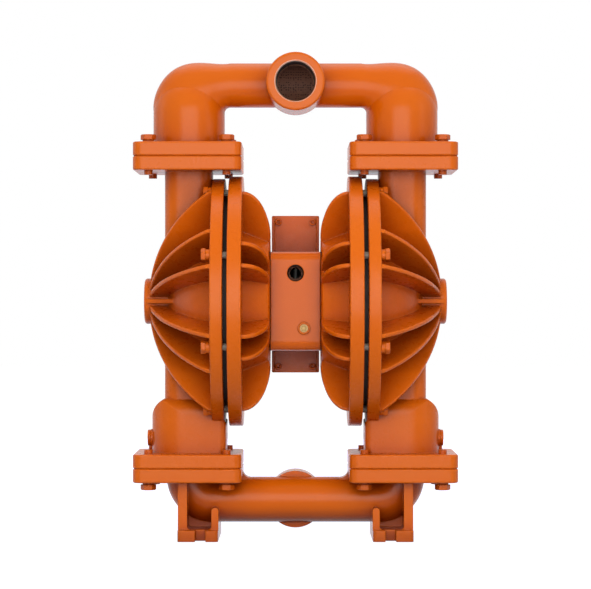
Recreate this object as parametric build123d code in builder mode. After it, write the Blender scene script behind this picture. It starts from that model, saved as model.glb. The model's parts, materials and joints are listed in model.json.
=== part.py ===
from build123d import *
from math import cos, radians, sin, sqrt
import os

# Air operated double diaphragm pump, 2 inch bolted metal size, in millimetres.
# The floor is Z = 0, the middle of the pump is X = 0 and the discharge port faces -Y.

# Layout
axis_height = 337
neck_offset = 152
lower_reach = 235
upper_reach = 204
clearance = 0.3
running_gap = 0.05

# Rims that clamp the diaphragm
diaphragm_thickness = 6
diaphragm_radius = 155
air_face = 94
liquid_rim_thickness = 17.5
air_rim_thickness = 19.5
liquid_rim_radius = 174.5
air_rim_radius = 178
rim_edge = 1.5
bead_circle = 149
bead_radius = 4.6
rim_mouth_radius = 140
rim_bolt_circle = 164
rim_bolt_count = 8
rim_bolt_turn = 22.5
roll_outer = 134
roll_inner = 80
roll_depth = 6

# Liquid chamber dome, nose and ribs
chamber_wall = 8
dome_apex = 184
dome_foot_radius = 112
nose_radius = 32.5
nose_end = 215
nose_rounding = 4
rib_apex = 209
rib_shoulder_radius = 172
rib_shoulder_height = 5.5
rib_thickness = 6
rib_rounding = 1.8
rib_angles = (27.5, 56, 74)
gusset_reach = 56

# Vertical duct, valve housing and flanges
duct_half_width = 34
duct_corner = 22
duct_start = 60
duct_bore_radius = 26
duct_bore_start = 70
housing_half_y = 46
housing_inner = 98
housing_outer = 204.5
housing_height = 79
housing_outer_corner = 45.5
housing_inner_corner = 10
housing_outer_shoulder = 31
housing_side_shoulder = 24
drain_head_radius = 11.5
drain_head = 4.5
drain_boss = 2
drain_height = 20
drain_thread_radius = 7
drain_thread_length = 12
flange_width = 153
flange_depth = 150
flange_thickness = 20
flange_corner = 13
flange_edge = 1.6
flange_bolt_spacing = 110

# Check valves
ball_radius = 33
ball_lift = 14
seat_radius = 46
seat_height = 12
seat_throat_radius = 24
seat_bevel = 6
seat_foot_bevel = 6.5
seat_ring_section = 1.8
cage_radius = 40
cage_straight = 52
cage_height = 70
guide_thickness = 7
guide_inner_radius = 20
guide_bottom = 8
guide_top = 66
guide_gap = 0.7
guide_root = 2

# Manifolds
pipe_bore_radius = 25
discharge_pipe_radius = 31.7
discharge_pipe_rise = 104.3
discharge_neck_radius = 51
discharge_throat = 8
discharge_waist = 40
elbow_outer_radius = 65.8
elbow_crown = 1.8
elbow_sections = 5
inlet_pipe_radius = 32.2
inlet_pipe_drop = 48
inlet_throat = 1.1
inlet_web_radius = 13
inlet_web_half_depth = 14
port_reach = 76
discharge_port_radius = 41
inlet_port_radius = 39
port_root_flare = 1.5
port_rounding = 3.5
port_thread_radius = 28.2
port_thread_length = 32

# Feet of the inlet manifold
foot_inner = 108.5
foot_outer = 165.5
foot_half_depth = 76
foot_thickness = 15.5
foot_corner = 5
foot_outer_web = 13
foot_inner_web = 10
foot_inner_web_height = 46
foot_middle_web = 10
foot_web_half_depth = 58
foot_web_fillet = 4.5
foot_slot_width = 15
foot_slot_depth = 22
foot_slot_offset = 133.5

# Air chamber
hub_face = 36
hub_wall = 8
hub_edge_radius = 92
hub_bore_radius = 28
hub_floor_radius = 90
hub_floor_corner = 12
air_skin_foot_radius = 112
air_skin_top_radius = 96
air_rib_foot_radius = 173
air_rib_top_radius = 104
air_rib_angles = (28, 62.5, 73.5)
block_screw_y = 48
block_screw_z = 50

# Centre block
gasket_thickness = 1
block_half_y = 72
block_half_z = 69.5
block_corner = 14
register_length = 7
exhaust_height = 39.5
exhaust_thread_radius = 11.7
exhaust_thread_length = 30
exhaust_bore_radius = 8
signal_x = 11.8
signal_z = -38
signal_radius = 5.8
signal_depth = 14
signal_boss_radius = 8.5
signal_boss_height = 1.6
air_way_radius = 6
air_way_x = 18
air_way_y = 50
pilot_way_radius = 2.5

# Shaft, pistons and pilot spool
shaft_radius = 14
stud_radius = 9
stroke = 22.5
bush_radius = 19
bush_length = 26
shaft_seal_length = 4
inner_piston_radius = 70
inner_piston_thickness = 14
outer_piston_radius = 72
outer_piston_edge = 6
outer_piston_nose_radius = 24
outer_piston_height = 26
piston_rounding = 2.5
stud_length = 18
pilot_height = -42
pilot_radius = 6
pilot_sleeve_radius = 9
pilot_hole_radius = 7.5
pilot_share = 0.4
pilot_lost_motion = 0.5
pilot_waist_radius = 4
pilot_waist_length = 14
pilot_ring_section = 1.1
pilot_ring_offset = 12

# Air valve on the back of the centre block
plate_half_x = 34.5
plate_top = 124.5
plate_bottom = -104
plate_thickness = 12
plate_ridge_width = 4
plate_ridge_height = 2
plate_corner = 2
valve_screw_x = 25
valve_screw_inset = 9.2
plate_screw_x = 24
plate_screw_z = 30
valve_flange_thickness = 12
barrel_half_x = 30
barrel_depth = 44
barrel_inset = 16.5
barrel_corner = 14
cap_thickness = 12
cap_gap = 2
cap_screw_x = 22
cap_screw_y = 14
valve_bore_radius = 16
valve_spool_length = 180
valve_spool_travel = 14
valve_spool_waist = 9
valve_land_length = 34
air_inlet_radius = 11.7
air_inlet_length = 16
air_inlet_way_radius = 8
air_inlet_boss_radius = 20
air_inlet_boss_height = 14
air_inlet_height = 10

# Fasteners
bolt_hole_gap = 0.5
rim_bolt_radius = 5
rim_bolt_flats = 17
rim_bolt_head = 6.4
rim_bolt_recess = 1
rim_boss_radius = 8.5
rim_boss_height = 5.5
flange_bolt_radius = 6
flange_bolt_flats = 19
flange_bolt_head = 7.5
flange_bolt_tip = 6
flange_washer_radius = 8.3
flange_washer_thickness = 3
bolt_tip_gap = 1
block_screw_radius = 5
block_screw_head_radius = 8
block_screw_head = 5
block_screw_length = 26
small_screw_radius = 3
small_screw_head_radius = 4.8
small_screw_head = 3.5
small_screw_length = 22
cap_screw_radius = 2.5
cap_screw_head_radius = 4
cap_screw_length = 24

# Faces, heights and lengths that follow from the values above
liquid_face = air_face + diaphragm_thickness
rim_back = liquid_face + liquid_rim_thickness
air_rim_back = air_face - air_rim_thickness
lower_joint = axis_height - lower_reach
upper_joint = axis_height + upper_reach
inlet_pipe_height = lower_joint - inlet_pipe_drop
discharge_pipe_height = upper_joint + discharge_pipe_rise
elbow_pivot_x = neck_offset - discharge_neck_radius - discharge_throat
elbow_pivot_z = discharge_pipe_height - discharge_pipe_radius - discharge_throat
elbow_outer_x = neck_offset + discharge_neck_radius - elbow_outer_radius
elbow_outer_z = discharge_pipe_height + discharge_pipe_radius + elbow_crown - elbow_outer_radius
drain_seat = housing_outer + drain_boss
drain_level = lower_joint + flange_thickness + drain_height
housing_top = lower_joint + flange_thickness + housing_height
block_half_x = hub_face - gasket_thickness
register_end = block_half_x + register_length
plate_face = block_half_y + gasket_thickness
plate_back = plate_face + plate_thickness
flange_face = plate_back + gasket_thickness
barrel_face = flange_face + valve_flange_thickness
barrel_back = barrel_face + barrel_depth
barrel_centre = barrel_face + barrel_depth / 2
barrel_top = plate_top - barrel_inset
barrel_bottom = plate_bottom + barrel_inset
ball_rest = sqrt(ball_radius**2 - seat_throat_radius**2) - seat_bevel + clearance
ball_top = ball_rest + ball_lift
ball_room = ball_radius + guide_gap
shaft_end = air_face - inner_piston_thickness
pilot_half_length = shaft_end - (1 - pilot_share) * stroke - pilot_lost_motion
rib_shoulder = rim_back + rib_shoulder_height
rim_bolt_length = rim_back + rim_boss_height - air_rim_back - rim_bolt_recess
flange_bolt_length = 2 * flange_thickness + flange_washer_thickness + flange_bolt_tip

# Ways through the block, the plate and the gaskets to the air valve: x, z from the shaft, radius
ways = (
    (-air_way_x, 0, air_way_radius),
    (air_way_x, 0, air_way_radius),
    (0, exhaust_height, exhaust_bore_radius),
    (0, pilot_height, pilot_way_radius),
)

shaft_axis = Axis((0, 0, axis_height), (1, 0, 0))
neck_axis = Axis((neck_offset, 0, 0), (0, 0, 1))
discharge_port_axis = Axis((0, 0, discharge_pipe_height), (0, 1, 0))
inlet_port_axis = Axis((0, 0, inlet_pipe_height), (0, 1, 0))
profile_plane = Plane(origin=(0, 0, axis_height), x_dir=(1, 0, 0), z_dir=(0, -1, 0))


def across(x):
    """Plane square to the shaft at x: its own x runs along +Y and its own y along +Z."""
    return Plane(origin=(x, 0, axis_height), x_dir=(0, 1, 0), z_dir=(1, 0, 0))


def facing_front(y, height=axis_height):
    """Plane at y that faces -Y: its own x runs along +X and its own y along +Z."""
    return Plane(origin=(0, y, height), x_dir=(1, 0, 0), z_dir=(0, -1, 0))


def facing_back(y, height=axis_height):
    """Plane at y that faces +Y: its own x runs along -X and its own y along +Z."""
    return Plane(origin=(0, y, height), x_dir=(-1, 0, 0), z_dir=(0, 1, 0))


def on_neck(height):
    """Level plane on the right-hand valve centre line."""
    return Plane(origin=(neck_offset, 0, height), x_dir=(1, 0, 0), z_dir=(0, 0, 1))


def on_both_necks(height, turned=False):
    """The level planes on both valve centre lines, facing down when turned."""
    facing = (0, 0, -1) if turned else (0, 0, 1)
    return [Plane(origin=(x, 0, height), x_dir=(1, 0, 0), z_dir=facing) for x in (-neck_offset, neck_offset)]


def bowl(radius, apex, foot, foot_radius):
    """X of a spherical bowl that tops at apex on the shaft axis and passes foot at foot_radius."""
    rise = apex - foot
    sphere = (foot_radius**2 + rise**2) / (2 * rise)
    return apex - sphere + sqrt(sphere**2 - radius**2)


def dome(radius):
    return bowl(radius, dome_apex, rim_back, dome_foot_radius)


def cavity(radius):
    return bowl(radius, dome_apex - chamber_wall, rim_back - chamber_wall, dome_foot_radius - 5)


def rib_crest(radius):
    return bowl(radius, rib_apex, rib_shoulder, rib_shoulder_radius)


def elbow_reach(outward):
    """Distance from the pivot of the discharge elbow to its outer arc, in the direction outward."""
    offset = Vector(elbow_outer_x - elbow_pivot_x, 0, elbow_outer_z - elbow_pivot_z)
    along = outward.dot(offset)
    return along + sqrt(elbow_outer_radius**2 - offset.length**2 + along**2)


def all_round(angles):
    """The four mirror images of each angle, measured from straight up towards the front."""
    return [turn for angle in angles for turn in (angle, -angle, 180 - angle, 180 + angle)]


def hex_bolt(radius, length, flats, head):
    """Hexagon head bolt: its head stands on Z = 0 and its shank hangs below."""
    with BuildPart() as bolt:
        with BuildSketch():
            RegularPolygon(flats / 2, 6, major_radius=False)
        extrude(amount=head)
        with BuildSketch(Plane.XZ):
            Polygon((0, 0), (flats, 0), (flats / 2, head), (0, head), align=None)
        revolve(axis=Axis.Z, mode=Mode.INTERSECT)
        with BuildSketch():
            Circle(radius)
        extrude(amount=-length)
    return bolt.part


def washer(inner, outer, thickness):
    """Plain washer lying on Z = 0."""
    with BuildPart() as ring:
        with BuildSketch():
            Circle(outer)
            Circle(inner, mode=Mode.SUBTRACT)
        extrude(amount=thickness)
    return ring.part


def socket_screw(radius, length, head_radius, head):
    """Socket head screw: its head stands on Z = 0 and its shank hangs below."""
    with BuildPart() as screw:
        with BuildSketch():
            Circle(head_radius)
        extrude(amount=head)
        chamfer(screw.faces().sort_by(Axis.Z)[-1].edges(), head_radius * 0.1)
        with BuildSketch(Plane.XY.offset(head)):
            RegularPolygon(radius * 0.85, 6, major_radius=False)
        extrude(amount=-head * 0.6, mode=Mode.SUBTRACT)
        with BuildSketch():
            Circle(radius)
        extrude(amount=-length)
    return screw.part


def flange_plate(bottom, joint_on_top):
    """Square flange on the right-hand centre line, chamfered at the joint and rounded at its back."""
    with BuildPart() as flange:
        with BuildSketch(on_neck(bottom)):
            RectangleRounded(flange_width, flange_depth, flange_corner)
        extrude(amount=flange_thickness)
        faces = flange.faces().sort_by(Axis.Z, reverse=joint_on_top)
        chamfer(faces[0].edges(), flange_edge)
        fillet(flange.faces().sort_by(Axis.Z, reverse=joint_on_top)[-1].edges(), flange_edge * 1.5)
    return flange.part


def port_boss(axis, radius, face_y):
    """Round port boss, a little wider at its root, with a rounded lip."""
    height = axis.position.Z
    with BuildPart() as boss:
        with BuildSketch(Plane.YZ):
            Polygon(
                (0, height), (0, height + radius + port_root_flare),
                (face_y, height + radius), (face_y, height), align=None,
            )
        revolve(axis=axis)
        lip = boss.faces().sort_by(Axis.Y, reverse=face_y > 0)[0]
        fillet(lip.edges(), port_rounding)
    return boss.part


# Ball cage room above a seat whose top is Z = 0: a straight bore under a conical roof
with BuildPart() as cage_room:
    with BuildSketch(Plane.XZ):
        Polygon(
            (0, 0), (cage_radius, 0), (cage_radius, cage_straight),
            (duct_bore_radius, cage_height), (0, cage_height), align=None,
        )
    revolve(axis=Axis.Z)

# Four guide fins rooted in the cage wall and hollowed for the ball's whole travel
with BuildPart() as cage_guides:
    with BuildSketch(Plane.XY.offset(guide_bottom)):
        with PolarLocations((guide_inner_radius + cage_radius + guide_root) / 2, 4, start_angle=45):
            Rectangle(cage_radius + guide_root - guide_inner_radius, guide_thickness)
    extrude(amount=guide_top - guide_bottom)
    with BuildSketch(Plane.XZ):
        with BuildLine():
            Polyline((0, ball_top + ball_room), (0, 0), (ball_room, 0), (ball_room, ball_top))
            CenterArc((0, ball_top), ball_room, 0, 90)
        make_face()
    revolve(axis=Axis.Z, mode=Mode.SUBTRACT)
    with BuildSketch(Plane.XZ):
        Polygon(
            (0, 0), (cage_radius + guide_root, 0), (cage_radius + guide_root, cage_straight),
            (duct_bore_radius + guide_root, cage_height), (0, cage_height), align=None,
        )
    revolve(axis=Axis.Z, mode=Mode.INTERSECT)

# Liquid chamber rib, standing straight up from the shaft axis
with BuildPart() as liquid_rib:
    with BuildSketch(profile_plane):
        with BuildLine():
            Polyline(
                (rib_crest(nose_radius), nose_radius), (rib_crest(nose_radius), nose_radius / 2),
                (rim_back - 5, nose_radius / 2), (rim_back - 5, liquid_rim_radius - rim_edge),
                (rim_back, liquid_rim_radius - rim_edge), (rib_shoulder, rib_shoulder_radius),
            )
            ThreePointArc(
                (rib_shoulder, rib_shoulder_radius),
                (rib_crest(rib_shoulder_radius * 0.6), rib_shoulder_radius * 0.6),
                (rib_crest(nose_radius), nose_radius),
            )
        make_face()
    extrude(amount=rib_thickness / 2, both=True)
    fillet(liquid_rib.edges().filter_by(GeomType.CIRCLE), rib_rounding)

# Short gusset between the nose and the dome, at the height of the shaft
with BuildPart() as nose_gusset:
    with BuildSketch(profile_plane):
        Polygon(
            (nose_end - nose_rounding, nose_radius / 2), (nose_end - nose_rounding, nose_radius),
            (dome(gusset_reach) - nose_rounding, gusset_reach), (rim_back, gusset_reach),
            (rim_back, nose_radius / 2), align=None,
        )
    extrude(amount=rib_thickness / 2, both=True)

# Air chamber rib, standing straight up from the shaft axis
with BuildPart() as air_rib:
    with BuildSketch(profile_plane):
        with BuildLine():
            EllipticalCenterArc(
                (air_rim_back, air_rib_top_radius), air_rim_back - hub_face,
                air_rib_foot_radius - air_rib_top_radius, start_angle=90, arc_size=90,
            )
            Polyline(
                (hub_face, air_rib_top_radius), (hub_face + 4, hub_edge_radius - 8),
                (air_rim_back + 4, hub_edge_radius - 8), (air_rim_back + 4, air_rib_foot_radius),
                (air_rim_back, air_rib_foot_radius),
            )
        make_face()
    extrude(amount=rib_thickness / 2, both=True)
    fillet(air_rib.edges().filter_by(GeomType.ELLIPSE), rib_rounding)

# Box-shaped housing round the inlet ball cage, rounded in plan and over its shoulders
with BuildPart() as valve_housing:
    with BuildSketch(Plane.XY.offset(lower_joint + flange_thickness / 2)):
        with BuildLine():
            FilletPolyline(
                (housing_inner, -housing_half_y), (housing_outer, -housing_half_y),
                (housing_outer, housing_half_y), (housing_inner, housing_half_y),
                (housing_inner, -housing_half_y),
                radius=(
                    housing_inner_corner, housing_outer_corner, housing_outer_corner, housing_inner_corner,
                ),
            )
        make_face()
    extrude(amount=flange_thickness / 2 + housing_height)
    with BuildSketch(Plane.XZ):
        with BuildLine():
            FilletPolyline(
                (0, lower_joint), (housing_outer, lower_joint), (housing_outer, housing_top),
                (0, housing_top), (0, lower_joint), radius=(0, 0, housing_outer_shoulder, 0),
            )
        make_face()
    extrude(amount=2 * housing_half_y, both=True, mode=Mode.INTERSECT)
    with BuildSketch(Plane.YZ):
        with BuildLine():
            FilletPolyline(
                (-housing_half_y, lower_joint), (housing_half_y, lower_joint), (housing_half_y, housing_top),
                (-housing_half_y, housing_top), (-housing_half_y, lower_joint),
                radius=(0, 0, housing_side_shoulder, housing_side_shoulder),
            )
        make_face()
    extrude(amount=2 * housing_outer, both=True, mode=Mode.INTERSECT)

# Holes in the manifold flanges, and tapped holes with room for the bolt ends in the chamber's two flanges
tip_reach = flange_thickness + flange_bolt_tip + bolt_tip_gap
with BuildPart() as flange_holes:
    for start, radius, reach in (
        (upper_joint, flange_bolt_radius + bolt_hole_gap, flange_thickness),
        (upper_joint, flange_bolt_radius + running_gap, -tip_reach),
        (lower_joint, flange_bolt_radius + bolt_hole_gap, -flange_thickness),
        (lower_joint, flange_bolt_radius + running_gap, tip_reach),
    ):
        with BuildSketch(on_neck(start)):
            with GridLocations(flange_bolt_spacing, flange_bolt_spacing, 2, 2):
                Circle(radius)
        extrude(amount=reach)

# Bead groove and bolt holes of the clamped rims
with BuildPart() as rim_cuts:
    for x in (air_face, liquid_face):
        with BuildSketch(profile_plane):
            with Locations((x, bead_circle)):
                Circle(bead_radius + clearance)
        revolve(axis=shaft_axis)
    for x, radius, reach in (
        (air_rim_back, rim_bolt_radius + running_gap, air_rim_thickness),
        (liquid_face, rim_bolt_radius + bolt_hole_gap, liquid_rim_thickness + rim_boss_height),
    ):
        with BuildSketch(across(x)):
            with PolarLocations(rim_bolt_circle, rim_bolt_count, start_angle=rim_bolt_turn):
                Circle(radius)
        extrude(amount=reach)

# Liquid chamber: rim, ribbed dome, duct, valve housing and two flanges in one casting
with BuildPart() as liquid_chamber_right:
    with BuildSketch(profile_plane):
        with BuildLine():
            Polyline(
                (rim_back, dome_foot_radius), (rim_back, liquid_rim_radius),
                (liquid_face, liquid_rim_radius), (liquid_face, 0), (nose_end, 0),
                (nose_end, nose_radius), (dome(nose_radius), nose_radius),
            )
            ThreePointArc(
                (dome(nose_radius), nose_radius), (dome(dome_foot_radius * 0.7), dome_foot_radius * 0.7),
                (rim_back, dome_foot_radius),
            )
        make_face()
    revolve(axis=shaft_axis)
    fillet(liquid_chamber_right.faces().sort_by(Axis.X)[-1].edges(), nose_rounding)
    fillet(liquid_chamber_right.edges().filter_by(GeomType.CIRCLE).sort_by(SortBy.RADIUS)[-2:], rim_edge)
    for turn in all_round(rib_angles):
        add(liquid_rib.part.rotate(shaft_axis, turn))
    for turn in (90, -90):
        add(nose_gusset.part.rotate(shaft_axis, turn))
    with BuildSketch(across(rim_back - rim_edge)):
        with PolarLocations(rim_bolt_circle, rim_bolt_count, start_angle=rim_bolt_turn):
            Circle(rim_boss_radius)
    extrude(amount=rim_edge + rim_boss_height)
    with BuildSketch(on_neck(axis_height + duct_start)):
        RectangleRounded(2 * duct_half_width, 2 * duct_half_width, duct_corner)
    extrude(amount=upper_reach - duct_start - flange_thickness / 2)
    with BuildSketch(on_neck(lower_joint + flange_thickness / 2)):
        RectangleRounded(2 * duct_half_width, 2 * duct_half_width, duct_corner)
    extrude(amount=lower_reach - duct_start - flange_thickness / 2)
    add(valve_housing.part)
    with BuildSketch(across(liquid_face)):
        Circle(liquid_rim_radius + clearance)
    extrude(amount=-diaphragm_thickness, mode=Mode.SUBTRACT)
    with BuildSketch(Plane(origin=(drain_seat, 0, drain_level), x_dir=(0, 1, 0), z_dir=(1, 0, 0))):
        Circle(drain_head_radius + drain_boss / 2)
    extrude(amount=-housing_outer_corner / 2)
    add(flange_plate(lower_joint, joint_on_top=False))
    add(flange_plate(upper_joint - flange_thickness, joint_on_top=True))
    with BuildSketch(profile_plane):
        with BuildLine():
            Polyline(
                (cavity(0), 0), (liquid_face, 0), (liquid_face, rim_mouth_radius),
                (cavity(dome_foot_radius - 5), dome_foot_radius - 5),
            )
            ThreePointArc(
                (cavity(dome_foot_radius - 5), dome_foot_radius - 5),
                (cavity(dome_foot_radius * 0.6), dome_foot_radius * 0.6), (cavity(0), 0),
            )
        make_face()
    revolve(axis=shaft_axis, mode=Mode.SUBTRACT)
    for start, reach in ((lower_joint, lower_reach), (axis_height + duct_bore_start, upper_reach)):
        with BuildSketch(on_neck(start)):
            Circle(duct_bore_radius)
        extrude(amount=reach - duct_bore_start, mode=Mode.SUBTRACT)
    with BuildSketch(on_neck(upper_joint - seat_height)):
        Circle(seat_radius + clearance)
    extrude(amount=seat_height, mode=Mode.SUBTRACT)
    with BuildSketch(Plane(origin=(drain_seat, 0, drain_level), x_dir=(0, 1, 0), z_dir=(1, 0, 0))):
        Circle(drain_thread_radius + running_gap)
    extrude(amount=cage_radius - housing_outer, mode=Mode.SUBTRACT)
    with Locations((neck_offset, 0, lower_joint)):
        add(cage_room.part, mode=Mode.SUBTRACT)
        add(cage_guides.part)
    add(flange_holes.part, mode=Mode.SUBTRACT)
    add(rim_cuts.part, mode=Mode.SUBTRACT)

# Air chamber: rim, ribs and a shallow cup whose floor bolts to the centre block
with BuildPart() as air_chamber_right:
    with BuildSketch(profile_plane):
        Polygon(
            (air_face, 0), (air_face, air_rim_radius), (air_rim_back, air_rim_radius),
            (air_rim_back, air_skin_foot_radius), (hub_face + 2, air_skin_top_radius),
            (hub_face, hub_edge_radius), (hub_face, 0), align=None,
        )
    revolve(axis=shaft_axis)
    fillet(air_chamber_right.edges().filter_by(GeomType.CIRCLE).sort_by(SortBy.RADIUS)[-2:], rim_edge)
    for turn in all_round(air_rib_angles):
        add(air_rib.part.rotate(shaft_axis, turn))
    with BuildSketch(profile_plane):
        with BuildLine():
            FilletPolyline(
                (air_face, 0), (air_face, rim_mouth_radius),
                (air_face - 10, air_skin_foot_radius - hub_wall),
                (hub_face + hub_wall, hub_floor_radius), (hub_face + hub_wall, 0), (air_face, 0),
                radius=(0, 0, hub_wall, hub_floor_corner, 0),
            )
        make_face()
    revolve(axis=shaft_axis, mode=Mode.SUBTRACT)
    with BuildSketch(across(hub_face)):
        Circle(hub_bore_radius)
        with Locations((0, pilot_height)):
            Circle(pilot_hole_radius)
        with Locations((air_way_y, 0)):
            Circle(air_way_radius)
        with GridLocations(2 * block_screw_y, 2 * block_screw_z, 2, 2):
            Circle(block_screw_radius + bolt_hole_gap)
    extrude(amount=hub_wall, mode=Mode.SUBTRACT)
    add(rim_cuts.part, mode=Mode.SUBTRACT)

# Elbow of the discharge manifold: ellipses swung about the pivot, as high as its outer arc lets them be
with BuildPart() as discharge_elbow:
    for section in range(elbow_sections):
        share = section / (elbow_sections - 1)
        outward = Vector(sin(radians(90 * share)), 0, cos(radians(90 * share)))
        half_height = max(discharge_pipe_radius, (elbow_reach(outward) - discharge_throat) / 2)
        growth = (half_height - discharge_pipe_radius) / (discharge_neck_radius - discharge_pipe_radius)
        half_width = discharge_pipe_radius + (discharge_waist - discharge_pipe_radius) * growth
        along = Vector(outward.Z, 0, -outward.X)
        centre = Vector(elbow_pivot_x, 0, elbow_pivot_z) + outward * (discharge_throat + half_height)
        with BuildSketch(Plane(origin=centre, x_dir=outward, z_dir=along)):
            Ellipse(half_height, half_width)
    loft()

# Waterway of the discharge manifold
discharge_bend = discharge_pipe_rise - cage_height
with BuildPart() as discharge_way:
    with BuildLine(Plane.XZ):
        Line((0, discharge_pipe_height), (neck_offset - discharge_bend, discharge_pipe_height))
        CenterArc((neck_offset - discharge_bend, upper_joint + cage_height), discharge_bend, 90, -90)
    with BuildSketch(Plane.YZ):
        with Locations((0, discharge_pipe_height)):
            Circle(pipe_bore_radius)
    sweep()
    with Locations((neck_offset, 0, upper_joint)):
        add(cage_room.part)
    add(flange_holes.part)
    mirror(about=Plane.YZ)
    with BuildSketch(facing_front(-port_reach, discharge_pipe_height)):
        Circle(port_thread_radius)
    extrude(amount=-port_thread_length)
    with BuildSketch(facing_front(0, discharge_pipe_height)):
        Circle(pipe_bore_radius)
    extrude(amount=port_reach)

# Discharge manifold: pipe, two elbows, two flanges, front port and two ball cages
with BuildPart() as discharge_manifold:
    add(discharge_elbow.part)
    with BuildSketch(Plane.XZ):
        with BuildLine():
            Polyline(
                (neck_offset, elbow_pivot_z + discharge_neck_radius), (neck_offset, upper_joint + 1),
                (neck_offset + discharge_neck_radius, upper_joint + 1),
                (neck_offset + discharge_neck_radius, elbow_pivot_z),
            )
            CenterArc((neck_offset, elbow_pivot_z), discharge_neck_radius, 0, 90)
        make_face()
    revolve(axis=neck_axis)
    with BuildSketch(Plane.YZ):
        with Locations((0, discharge_pipe_height)):
            Circle(discharge_pipe_radius)
    extrude(amount=elbow_pivot_x)
    add(flange_plate(upper_joint, joint_on_top=False))
    mirror(about=Plane.YZ)
    add(port_boss(discharge_port_axis, discharge_port_radius, -port_reach))
    add(discharge_way.part, mode=Mode.SUBTRACT)
    with Locations((neck_offset, 0, upper_joint), (-neck_offset, 0, upper_joint)):
        add(cage_guides.part)

# Waterway of the inlet manifold
inlet_bend = inlet_pipe_radius + inlet_throat
with BuildPart() as inlet_way:
    with BuildLine(Plane.XZ):
        Line((0, inlet_pipe_height), (neck_offset - inlet_bend, inlet_pipe_height))
        CenterArc((neck_offset - inlet_bend, inlet_pipe_height + inlet_bend), inlet_bend, -90, 90)
    with BuildSketch(Plane.YZ):
        with Locations((0, inlet_pipe_height)):
            Circle(pipe_bore_radius)
    sweep()
    with BuildSketch(on_neck(inlet_pipe_height + inlet_bend)):
        Circle(pipe_bore_radius)
    extrude(amount=inlet_pipe_drop - inlet_bend)
    with BuildSketch(on_neck(lower_joint - seat_height)):
        Circle(seat_radius + clearance)
    extrude(amount=seat_height)
    add(flange_holes.part)
    mirror(about=Plane.YZ)
    with BuildSketch(facing_back(port_reach, inlet_pipe_height)):
        Circle(port_thread_radius)
    extrude(amount=-port_thread_length)
    with BuildSketch(facing_back(0, inlet_pipe_height)):
        Circle(pipe_bore_radius)
    extrude(amount=port_reach)

# Inlet manifold: pipe, two elbows, two flanges, rear port and two slotted feet
with BuildPart() as inlet_manifold:
    with BuildLine(Plane.XZ):
        Line((0, inlet_pipe_height), (neck_offset - inlet_bend, inlet_pipe_height))
        CenterArc((neck_offset - inlet_bend, inlet_pipe_height + inlet_bend), inlet_bend, -90, 90)
    with BuildSketch(Plane.YZ):
        with Locations((0, inlet_pipe_height)):
            Circle(inlet_pipe_radius)
    sweep()
    add(flange_plate(lower_joint - flange_thickness, joint_on_top=True))
    with BuildSketch(Plane.XZ):
        with BuildLine():
            web_x = neck_offset - flange_width / 2
            web_top = inlet_pipe_height + inlet_pipe_radius - 1 + inlet_web_radius
            Line((web_x, web_top), (web_x + flange_corner, web_top))
            Line((web_x + flange_corner, web_top), (web_x + flange_corner, inlet_pipe_height))
            Line((web_x + flange_corner, inlet_pipe_height), (web_x - inlet_web_radius, inlet_pipe_height))
            Line(
                (web_x - inlet_web_radius, inlet_pipe_height),
                (web_x - inlet_web_radius, web_top - inlet_web_radius),
            )
            CenterArc((web_x - inlet_web_radius, web_top), inlet_web_radius, -90, 90)
        make_face()
    extrude(amount=inlet_web_half_depth, both=True)
    with BuildSketch(Plane.XZ):
        with BuildLine():
            FilletPolyline(
                (foot_inner, 0), (foot_outer, 0), (foot_outer, lower_joint - flange_thickness / 2),
                (foot_outer - foot_outer_web, lower_joint - flange_thickness / 2),
                (foot_outer - foot_outer_web, foot_thickness), (foot_inner + foot_inner_web, foot_thickness),
                (foot_inner + foot_inner_web, foot_inner_web_height), (foot_inner, foot_inner_web_height),
                (foot_inner, 0),
                radius=(0, 0, 0, 0, foot_web_fillet, foot_web_fillet, foot_web_fillet, foot_web_fillet),
            )
        make_face()
    extrude(amount=foot_web_half_depth, both=True)
    with BuildSketch(Plane.XZ):
        Polygon(
            (foot_inner + 1, foot_thickness / 2), (foot_outer - 1, foot_thickness / 2),
            (foot_outer - 1, inlet_pipe_height), (foot_inner + 1, inlet_pipe_height), align=None,
        )
    extrude(amount=foot_middle_web / 2, both=True)
    with BuildSketch():
        with Locations(((foot_inner + foot_outer) / 2, 0)):
            RectangleRounded(foot_outer - foot_inner, 2 * foot_half_depth, foot_corner)
        with Locations((foot_slot_offset, foot_half_depth), (foot_slot_offset, -foot_half_depth)):
            SlotOverall(2 * foot_slot_depth, foot_slot_width, rotation=90, mode=Mode.SUBTRACT)
    extrude(amount=foot_thickness)
    mirror(about=Plane.YZ)
    add(port_boss(inlet_port_axis, inlet_port_radius, port_reach))
    add(inlet_way.part, mode=Mode.SUBTRACT)

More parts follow.
